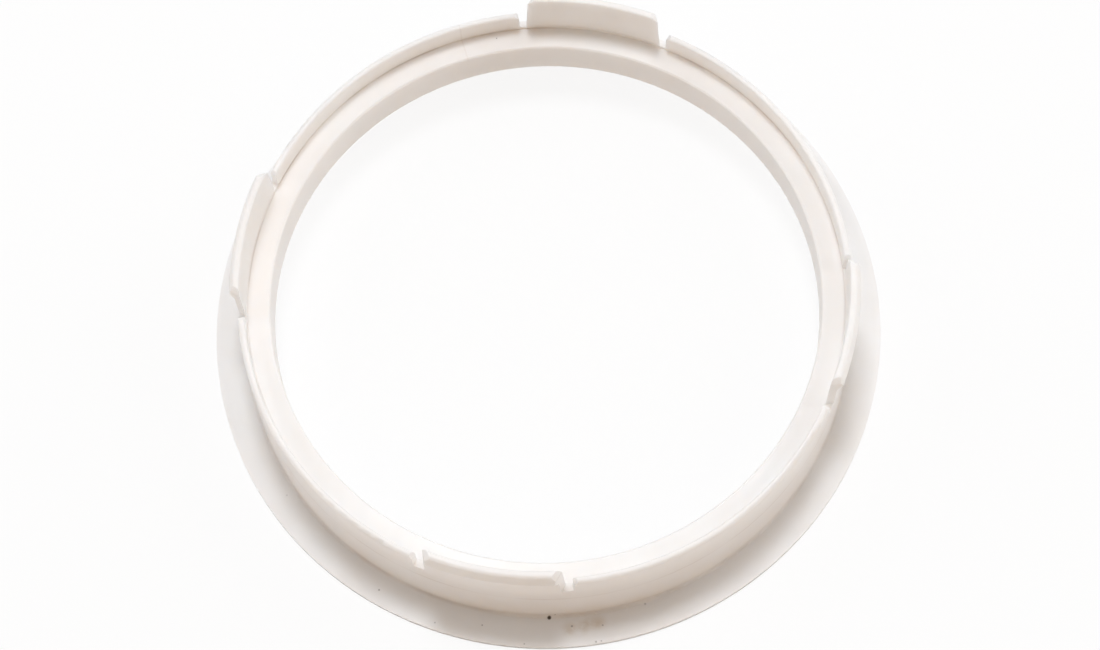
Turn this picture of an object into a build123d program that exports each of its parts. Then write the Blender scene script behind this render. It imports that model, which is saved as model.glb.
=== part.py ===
from build123d import *
from math import radians, sqrt, tan
import os

# Hub centric ring: one plastic moulding that centres a car wheel on a smaller hub spigot.
# Its axis is Z, its base lies on z = 0 and its snap tabs point up, with one tab centred on +X.

# Bore that sits on the hub spigot, with a coned lead-in below it
bore_diameter = 57.1
bore_length = 4.5
lead_in_height = 4.1
lead_in_width = 2.3

# Flange at the foot: a thin flat lip that stops the ring against the wheel
flange_overhang = 3.4
flange_thickness = 0.55

# Collar that fits in the wheel: a thin wall round a flat ledge, with draft in degrees to leave the mould
ledge_width = 2.4
collar_wall = 0.7
collar_rise = 2.65
collar_draft = 1.0

# Snap tabs: taller stretches of the collar, narrower at the top and leaning out a little
tab_count = 4
tab_foot_width = 14.8
tab_top_width = 14.3
tab_rise = 3.15
tab_lean = 0.1

# Slots that free each tab: sizes are at the inside of the collar, and draft in degrees opens them outward
slot_width = 0.45
slot_floor_rise = 0.3
slot_draft = 22.0

# Bead along the outside of each tab, which catches behind the edge of the wheel's bore
bead_proud = 0.6
bead_nose_drop = 1.3
bead_root_drop = 2.3

# Radii of the moulded edges, and the bevels on the inner edges and on the corners above the slots
crease_radius = 0.4
top_edge_radius = 0.4
bead_nose_radius = 0.3
bead_root_radius = 0.5
slot_floor_radius = 0.2
inner_edge_bevel = 0.12
bore_edge_bevel = 0.15
slot_corner_bevel = 0.35

# Clearance by which a cutting block starts before a wall and ends beyond it
cut_clearance = 0.2

# Heights and radii that follow from those above
ledge_z = lead_in_height + bore_length
collar_z = ledge_z + collar_rise
slot_floor_z = ledge_z + slot_floor_rise
tab_z = collar_z + tab_rise
bead_nose_z = tab_z - bead_nose_drop
bead_root_z = tab_z - bead_root_drop
bore_r = bore_diameter / 2
collar_inner_r = bore_r + ledge_width
collar_top_r = collar_inner_r + collar_wall
draft_slope = tan(radians(collar_draft))
collar_foot_r = collar_top_r + (collar_z - flange_thickness) * draft_slope
tab_root_r = collar_top_r + (collar_z - lead_in_height) * draft_slope - tab_lean
bead_root_r = collar_top_r + (collar_z - bead_root_z) * draft_slope + tab_lean
bead_nose_r = collar_top_r + bead_proud
tab_top_inner_r = collar_inner_r + tab_lean
tab_top_outer_r = collar_top_r + tab_lean
flange_r = collar_foot_r + flange_overhang

# Outlines of the collar's ends and of the tab, drawn on a plane just inside the collar
tab_foot_half = tab_foot_width / 2
tab_top_half = tab_top_width / 2
tab_side_lean = (tab_foot_half - tab_top_half) / (tab_z - slot_floor_z)
tab_bevel_z = tab_z - slot_corner_bevel
tab_bevel_half = tab_top_half + slot_corner_bevel * tab_side_lean
collar_end_half = tab_foot_half + slot_width
collar_bevel_z = collar_z - slot_corner_bevel
outline_x = sqrt(collar_inner_r**2 - collar_end_half**2) - cut_clearance
outline_depth = bead_nose_r + cut_clearance - outline_x
window_top_z = tab_z + cut_clearance
window_top_half = collar_end_half + window_top_z - collar_bevel_z
blank_top_z = tab_z + cut_clearance
blank_top_half = tab_bevel_half - (blank_top_z - tab_bevel_z)

# Window: the gap in the collar for one tab and its two slots, opening outward and beveled at the collar's top
with BuildPart() as tab_window:
    with BuildSketch(Plane.YZ.offset(outline_x)):
        with BuildLine():
            Polyline(
                (0, slot_floor_z),
                (collar_end_half, slot_floor_z),
                (collar_end_half, collar_bevel_z),
                (window_top_half, window_top_z),
                (0, window_top_z),
            )
            mirror(about=Plane.YZ)
        make_face()
    extrude(amount=outline_depth)
    walls = tab_window.faces().filter_by(Axis.X, reverse=True).filter_by(Axis.Z, reverse=True)
    draft(walls, Plane.YZ.offset(outline_x), -slot_draft)
    floor_edges = tab_window.faces().sort_by(Axis.Z)[0].edges()
    fillet(floor_edges.filter_by(Axis.Y, reverse=True), slot_floor_radius)

# Tab blank: a block with the tab's tapering sides and beveled top corners, narrower outward
with BuildPart() as tab_blank:
    with BuildSketch(Plane.YZ.offset(outline_x)):
        with BuildLine():
            Polyline(
                (0, 0),
                (tab_foot_half, 0),
                (tab_foot_half, slot_floor_z),
                (tab_bevel_half, tab_bevel_z),
                (blank_top_half, blank_top_z),
                (0, blank_top_z),
            )
            mirror(about=Plane.YZ)
        make_face()
    extrude(amount=outline_depth)
    sides = tab_blank.faces().filter_by(Axis.X, reverse=True).filter_by(Axis.Z, reverse=True)
    draft(sides, Plane.YZ.offset(outline_x), slot_draft)

# Tab: a wall that leans out of the ring's body and ends in a beaded top, kept within the blank's sides
with BuildPart() as snap_tab:
    with BuildSketch(Plane.XZ) as tab_section:
        with BuildLine():
            Polyline(
                (collar_inner_r, lead_in_height),
                (tab_root_r, lead_in_height),
                (bead_root_r, bead_root_z),
                (bead_nose_r, bead_nose_z),
                (tab_top_outer_r, tab_z),
                (tab_top_inner_r, tab_z),
                close=True,
            )
        make_face()
        fillet(tab_section.vertices().sort_by_distance((bead_root_r, bead_root_z))[0], bead_root_radius)
        fillet(tab_section.vertices().sort_by_distance((bead_nose_r, bead_nose_z))[0], bead_nose_radius)
        fillet(tab_section.vertices().sort_by_distance((tab_top_outer_r, tab_z))[0], top_edge_radius)
        chamfer(tab_section.vertices().sort_by_distance((tab_top_inner_r, tab_z))[0], inner_edge_bevel)
    revolve(axis=Axis.Z)
    add(tab_blank.part, mode=Mode.INTERSECT)

# Ring: the section turned about the axis, the windows cut through its collar and the tabs set in them
with BuildPart() as hub_centric_ring:
    with BuildSketch(Plane.XZ) as section:
        with BuildLine():
            Polyline(
                (bore_r + lead_in_width, 0),
                (flange_r, 0),
                (flange_r, flange_thickness),
                (collar_foot_r, flange_thickness),
                (collar_top_r, collar_z),
                (collar_inner_r, collar_z),
                (collar_inner_r, ledge_z),
                (bore_r, ledge_z),
                (bore_r, lead_in_height),
                close=True,
            )
        make_face()
        fillet(section.vertices().sort_by_distance((collar_foot_r, flange_thickness))[0], crease_radius)
        fillet(section.vertices().sort_by_distance((collar_top_r, collar_z))[0], top_edge_radius)
        chamfer(section.vertices().sort_by_distance((collar_inner_r, collar_z))[0], inner_edge_bevel)
        chamfer(section.vertices().sort_by_distance((bore_r, ledge_z))[0], bore_edge_bevel)
    revolve(axis=Axis.Z)
    with PolarLocations(0, tab_count):
        add(tab_window.part, mode=Mode.SUBTRACT)
    with PolarLocations(0, tab_count):
        add(snap_tab.part)

hub_centric_ring.part.label = "hub_centric_ring"

os.makedirs("parts", exist_ok=True)
export_step(hub_centric_ring.part, "parts/hub_centric_ring.step")
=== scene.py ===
from math import cos, radians, sin

import bpy
from mathutils import Matrix, Vector

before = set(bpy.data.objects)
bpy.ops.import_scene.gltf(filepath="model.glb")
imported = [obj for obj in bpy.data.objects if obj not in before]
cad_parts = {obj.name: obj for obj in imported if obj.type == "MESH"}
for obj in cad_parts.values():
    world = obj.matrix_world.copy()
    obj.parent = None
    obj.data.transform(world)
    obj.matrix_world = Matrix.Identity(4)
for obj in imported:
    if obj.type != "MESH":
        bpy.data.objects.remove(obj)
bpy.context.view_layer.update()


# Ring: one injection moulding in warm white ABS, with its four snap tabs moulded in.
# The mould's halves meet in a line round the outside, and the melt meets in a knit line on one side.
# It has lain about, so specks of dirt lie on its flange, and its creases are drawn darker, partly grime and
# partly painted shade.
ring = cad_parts["hub_centric_ring"]
mm = 0.001
flange_top = 0.55
ledge_top = 8.6


def linear(hex_colour):
    channels = [int(hex_colour[i:i + 2], 16) / 255 for i in (1, 3, 5)]
    return [c / 12.92 if c <= 0.04045 else ((c + 0.055) / 1.055) ** 2.4 for c in channels] + [1]


def add_node(tree, kind, sources=None, **settings):
    node = tree.nodes.new(kind)
    for name, value in settings.items():
        setattr(node, name, value)
    for socket, source in (sources or {}).items():
        if isinstance(source, bpy.types.NodeSocket):
            tree.links.new(source, node.inputs[socket])
        else:
            node.inputs[socket].default_value = source
    return node


def on_ring(azimuth, radius, height):
    angle = radians(azimuth)
    return (radius * mm * cos(angle), radius * mm * sin(angle), height * mm)


# Moulded ABS, satin off a polished mould: light goes a millimetre into it, which softens its shading.
moulded_abs = bpy.data.materials.new("moulded_white_abs")
moulded_abs.use_nodes = True
plastic = moulded_abs.node_tree
shader = plastic.nodes["Principled BSDF"]
shader.inputs["IOR"].default_value = 1.53
shader.inputs["Subsurface Weight"].default_value = 1.0
shader.inputs["Subsurface Radius"].default_value = (1.0, 0.95, 0.9)
shader.inputs["Subsurface Scale"].default_value = mm
place = add_node(plastic, "ShaderNodeTexCoord").outputs["Object"]
height = add_node(plastic, "ShaderNodeSeparateXYZ", {0: place}).outputs["Z"]
flat = add_node(plastic, "ShaderNodeVectorMath", {0: place, 1: (1, 1, 0)}, operation="MULTIPLY")
outward = add_node(plastic, "ShaderNodeVectorMath", {0: flat.outputs[0]}, operation="LENGTH")
section = add_node(plastic, "ShaderNodeCombineXYZ", {0: outward.outputs["Value"], 1: height}).outputs[0]

# The pigment is not mixed quite evenly, in clouds about 12 mm across.
# Patches about 4 mm across differ a little in shine.
cloud_width = 12 * mm
shine_width = 4 * mm
cloud = add_node(plastic, "ShaderNodeTexNoise", {"Vector": place, "Scale": 1 / cloud_width, "Detail": 3.0})
clouding = add_node(
    plastic, "ShaderNodeMapRange", {"Value": cloud.outputs[0], "From Min": 0.3, "From Max": 0.7},
    interpolation_type="SMOOTHSTEP",
)
pigment = add_node(
    plastic, "ShaderNodeMix", {0: clouding.outputs[0], 6: linear("#F7F5F3"), 7: linear("#F3F0ED")},
    data_type="RGBA",
)
colour = pigment.outputs[2]
shine = add_node(plastic, "ShaderNodeTexNoise", {"Vector": place, "Scale": 1 / shine_width, "Detail": 2.0})
satin = add_node(plastic, "ShaderNodeMath", {0: shine.outputs[0], 1: 0.2, 2: 0.4}, operation="MULTIPLY_ADD")
plastic.links.new(satin.outputs[0], shader.inputs["Roughness"])


def add_mark(base_colour, where, centre, full, none, strength, mark_colour, thinning=None):
    away = add_node(plastic, "ShaderNodeVectorMath", {0: where, 1: centre}, operation="DISTANCE")
    share = add_node(
        plastic, "ShaderNodeMapRange",
        {"Value": away.outputs["Value"], "From Min": full * mm, "From Max": none * mm,
         "To Min": strength, "To Max": 0.0},
        interpolation_type="SMOOTHSTEP",
    )
    if thinning is not None:
        share = add_node(plastic, "ShaderNodeMath", {0: share.outputs[0], 1: thinning}, operation="MULTIPLY")
    marked = add_node(
        plastic, "ShaderNodeMix", {0: share.outputs[0], 6: base_colour, 7: linear(mark_colour)},
        data_type="RGBA",
    )
    return marked.outputs[2]


# Lines round the ring: the mould's parting line, 0.15 mm wide and drawn at twice that to show, and darker lines
# in the corner of the ledge and in the crease over the flange, partly grime and partly painted shade. Each is
# thinned in patches.
# Radius, height and reach in mm, then strength and colour.
patch_width = 6 * mm
patch_noise = add_node(plastic, "ShaderNodeTexNoise", {"Vector": place, "Scale": 1 / patch_width, "Detail": 3.0})
patchy = add_node(
    plastic, "ShaderNodeMapRange",
    {"Value": patch_noise.outputs[0], "From Min": 0.38, "From Max": 0.62, "To Min": 0.3, "To Max": 1.3},
    interpolation_type="SMOOTHSTEP",
).outputs[0]
ring_lines = (
    (31.74, 6.3, 0.3, 0.16, "#B9A898"),
    # The next two lines are grime with painted shade in the ledge's corner and in the crease over the flange.
    (30.95, ledge_top, 0.22, 0.14, "#8A7361"),
    (31.95, 0.65, 0.3, 0.1, "#8A7361"),
)
for line_radius, line_height, reach, strength, line_colour in ring_lines:
    line_place = (line_radius * mm, line_height * mm, 0)
    colour = add_mark(colour, section, line_place, 0, reach, strength, line_colour, patchy)

# Knit line: a hair line across the collar and the ledge, where two streams of the melt met and cooled.
knit_azimuth = 116.6
knit_reach = 0.15 * mm
knit_strength = 0.14
knit_across = (-sin(radians(knit_azimuth)), cos(radians(knit_azimuth)), 0)
knit_middle = on_ring(knit_azimuth, 30.2, 9.6)
aside = add_node(plastic, "ShaderNodeVectorMath", {0: place, 1: knit_across}, operation="DOT_PRODUCT")
off_knit = add_node(plastic, "ShaderNodeMath", {0: aside.outputs["Value"]}, operation="ABSOLUTE")
hair = add_node(
    plastic, "ShaderNodeMapRange",
    {"Value": off_knit.outputs[0], "From Max": knit_reach, "To Min": knit_strength, "To Max": 0.0},
    interpolation_type="SMOOTHSTEP",
)
along = add_node(plastic, "ShaderNodeVectorMath", {0: place, 1: knit_middle}, operation="DISTANCE")
short = add_node(
    plastic, "ShaderNodeMapRange",
    {"Value": along.outputs["Value"], "From Min": 1.8 * mm, "From Max": 2.4 * mm, "To Min": 1.0, "To Max": 0.0},
    interpolation_type="SMOOTHSTEP",
)
knit = add_node(plastic, "ShaderNodeMath", {0: hair.outputs[0], 1: short.outputs[0]}, operation="MULTIPLY")
knitted = add_node(
    plastic, "ShaderNodeMix", {0: knit.outputs[0], 6: colour, 7: linear("#C8BBAE")}, data_type="RGBA"
)
colour = knitted.outputs[2]

# A faint brown stain on the flange with ragged edges, as left by a greasy thumb.
# Its blots have an azimuth, then radius and reach in mm.
rag_width = 1.2 * mm
stain_strength = 0.3
rag = add_node(plastic, "ShaderNodeTexNoise", {"Vector": place, "Scale": 1 / rag_width, "Detail": 4.0})
ragged = add_node(
    plastic, "ShaderNodeMapRange",
    {"Value": rag.outputs[0], "From Min": 0.25, "From Max": 0.65, "To Max": 0.9},
    interpolation_type="SMOOTHSTEP",
).outputs[0]
blots = ((283.4, 33.4, 1.1), (285.2, 33.3, 1.3), (287.0, 33.2, 1.3), (288.8, 33.0, 1.1))
for azimuth, blot_radius, reach in blots:
    blot_place = on_ring(azimuth, blot_radius, flange_top)
    colour = add_mark(colour, place, blot_place, 0, reach, stain_strength, "#A9854F", ragged)

# Specks of dirt, one dark and the rest faint.
# Azimuth, then radius, height and width in mm, then strength.
specks = (
    (280.0, 32.1, 0.6, 0.45, 0.95),
    (276.3, 32.0, 0.6, 0.2, 0.5),
    (281.1, 31.8, 0.8, 0.2, 0.5),
    (268.2, 33.5, flange_top, 0.18, 0.45),
    (260.2, 34.5, flange_top, 0.2, 0.3),
    (275.8, 34.9, flange_top, 0.18, 0.35),
    (289.4, 33.4, flange_top, 0.2, 0.4),
    (284.0, 33.1, flange_top, 0.25, 0.45),
    (297.7, 32.3, flange_top, 0.25, 0.3),
    (287.8, 35.0, flange_top, 0.25, 0.4),
    (288.7, 35.0, flange_top, 0.2, 0.35),
    (248.9, 33.8, flange_top, 0.22, 0.45),
    (224.4, 33.0, flange_top, 0.15, 0.3),
    (109.7, 30.2, ledge_top, 0.16, 0.5),
    (32.2, 30.9, 8.8, 0.2, 0.4),
)
for azimuth, speck_radius, speck_height, width, strength in specks:
    speck_place = on_ring(azimuth, speck_radius, speck_height)
    colour = add_mark(colour, place, speck_place, width / 4, width / 1.6, strength, "#3A2E26")
plastic.links.new(colour, shader.inputs["Base Color"])

# The mould was turned, and its tool left rings 0.1 mm apart round the outside, drawn at 0.3 mm to show.
# A fine grain from polishing lies over all, 0.05 mm in the real thing and drawn at 0.25 mm.
turning_pitch = 0.3 * mm
grain_width = 0.25 * mm
relief_depth = 0.02 * mm
turned = add_node(plastic, "ShaderNodeVectorMath", {0: section, 1: (0.2, 1, 1)}, operation="MULTIPLY")
tool_rings = add_node(
    plastic, "ShaderNodeTexNoise", {"Vector": turned.outputs[0], "Scale": 1 / turning_pitch, "Detail": 2.0}
)
grain = add_node(plastic, "ShaderNodeTexNoise", {"Vector": place, "Scale": 1 / grain_width, "Detail": 1.0})
relief = add_node(
    plastic, "ShaderNodeMath", {0: tool_rings.outputs[0], 1: 0.6, 2: grain.outputs[0]}, operation="MULTIPLY_ADD"
)
bump = add_node(
    plastic, "ShaderNodeBump", {"Height": relief.outputs[0], "Strength": 0.06, "Distance": relief_depth}
)
plastic.links.new(bump.outputs[0], shader.inputs["Normal"])
ring.data.materials[0] = moulded_abs


# Floor: a wide sheet of matt white paper under the ring, with no edge in sight.
# The camera sees it as nearly plain white, and it keeps the ring's soft shadow.
floor_width = 6
white_share = 0.88
bpy.ops.object.select_all(action="DESELECT")
bpy.ops.mesh.primitive_plane_add(size=floor_width, location=(0, 0, 0))
floor = bpy.context.object
floor.name = "floor"
matt_paper = bpy.data.materials.new("matt_white_paper")
matt_paper.use_nodes = True
sheet = matt_paper.node_tree
paper = sheet.nodes["Principled BSDF"]
paper.inputs["Base Color"].default_value = linear("#F8F8F8")
paper.inputs["Roughness"].default_value = 0.9
ray = add_node(sheet, "ShaderNodeLightPath").outputs
plain = add_node(
    sheet, "ShaderNodeMath", {0: ray["Is Camera Ray"], 1: ray["Is Glossy Ray"]}, operation="MAXIMUM"
)
seen = add_node(
    sheet, "ShaderNodeMath", {0: plain.outputs[0], 1: ray["Is Transmission Ray"]}, operation="MAXIMUM"
)
whitened = add_node(sheet, "ShaderNodeMath", {0: seen.outputs[0], 1: white_share}, operation="MULTIPLY")
white = add_node(sheet, "ShaderNodeEmission", {"Color": (1, 1, 1, 1), "Strength": 1.0})
shown = add_node(
    sheet, "ShaderNodeMixShader", {0: whitened.outputs[0], 1: paper.outputs[0], 2: white.outputs[0]}
)
sheet.links.new(shown.outputs[0], sheet.nodes["Material Output"].inputs["Surface"])
floor.data.materials.append(matt_paper)


# Light: a soft box overhead, set back to the far side, one at each side, and a weak warm card in front.
# The near wall of the ring is in soft shade, and the room adds a little warm light all round.
def add_softbox(name, azimuth, elevation, width, watts, colour):
    box_distance = 1.1
    bpy.ops.object.light_add(type="AREA", location=(0, 0, 0))
    box = bpy.context.object
    box.name = name
    box.data.shape = "SQUARE"
    box.data.size = width
    box.data.energy = watts
    box.data.color = linear(colour)[:3]
    box.matrix_world = (
        Matrix.Rotation(radians(azimuth), 4, "Z")
        @ Matrix.Rotation(radians(90 - elevation), 4, "Y")
        @ Matrix.Translation((0, 0, box_distance))
    )


add_softbox("overhead", azimuth=104, elevation=76, width=0.25, watts=5.6, colour="#F6FAFF")
add_softbox("right_side", azimuth=30, elevation=30, width=0.9, watts=5.5, colour="#FFFFFF")
add_softbox("left_side", azimuth=176, elevation=30, width=0.9, watts=4.3, colour="#FFFFFF")
add_softbox("front_card", azimuth=284, elevation=30, width=0.9, watts=2.3, colour="#FFDAB2")
room = bpy.data.worlds.new("room")
room.use_nodes = True
room_light = room.node_tree.nodes["Background"]
room_light.inputs["Color"].default_value = linear("#FFEEE2")
room_light.inputs["Strength"].default_value = 0.145
bpy.context.scene.world = room


# Camera: stands on the near side and looks steeply down into the ring, rolled a little.
# It is close enough that the near side looks a little larger than the far side.
view_azimuth = 283.75
view_elevation = 69.28
view_roll = -4.35
bore_foot = Vector((0, 0, 4.1 * mm))
turn = (
    Matrix.Rotation(radians(view_azimuth + 90), 4, "Z")
    @ Matrix.Rotation(radians(90 - view_elevation), 4, "X")
    @ Matrix.Rotation(radians(view_roll), 4, "Z")
)
stand = Matrix.Translation((0.000354, -0.001388, 0.29446))
camera_data = bpy.data.cameras.new("photo_camera")
camera_data.sensor_width = 36
camera_data.lens = 91.79
camera = bpy.data.objects.new("photo_camera", camera_data)
bpy.context.scene.collection.objects.link(camera)
camera.matrix_world = Matrix.Translation(bore_foot) @ turn @ stand
bpy.context.scene.camera = camera
bpy.context.scene.view_settings.view_transform = "Standard"
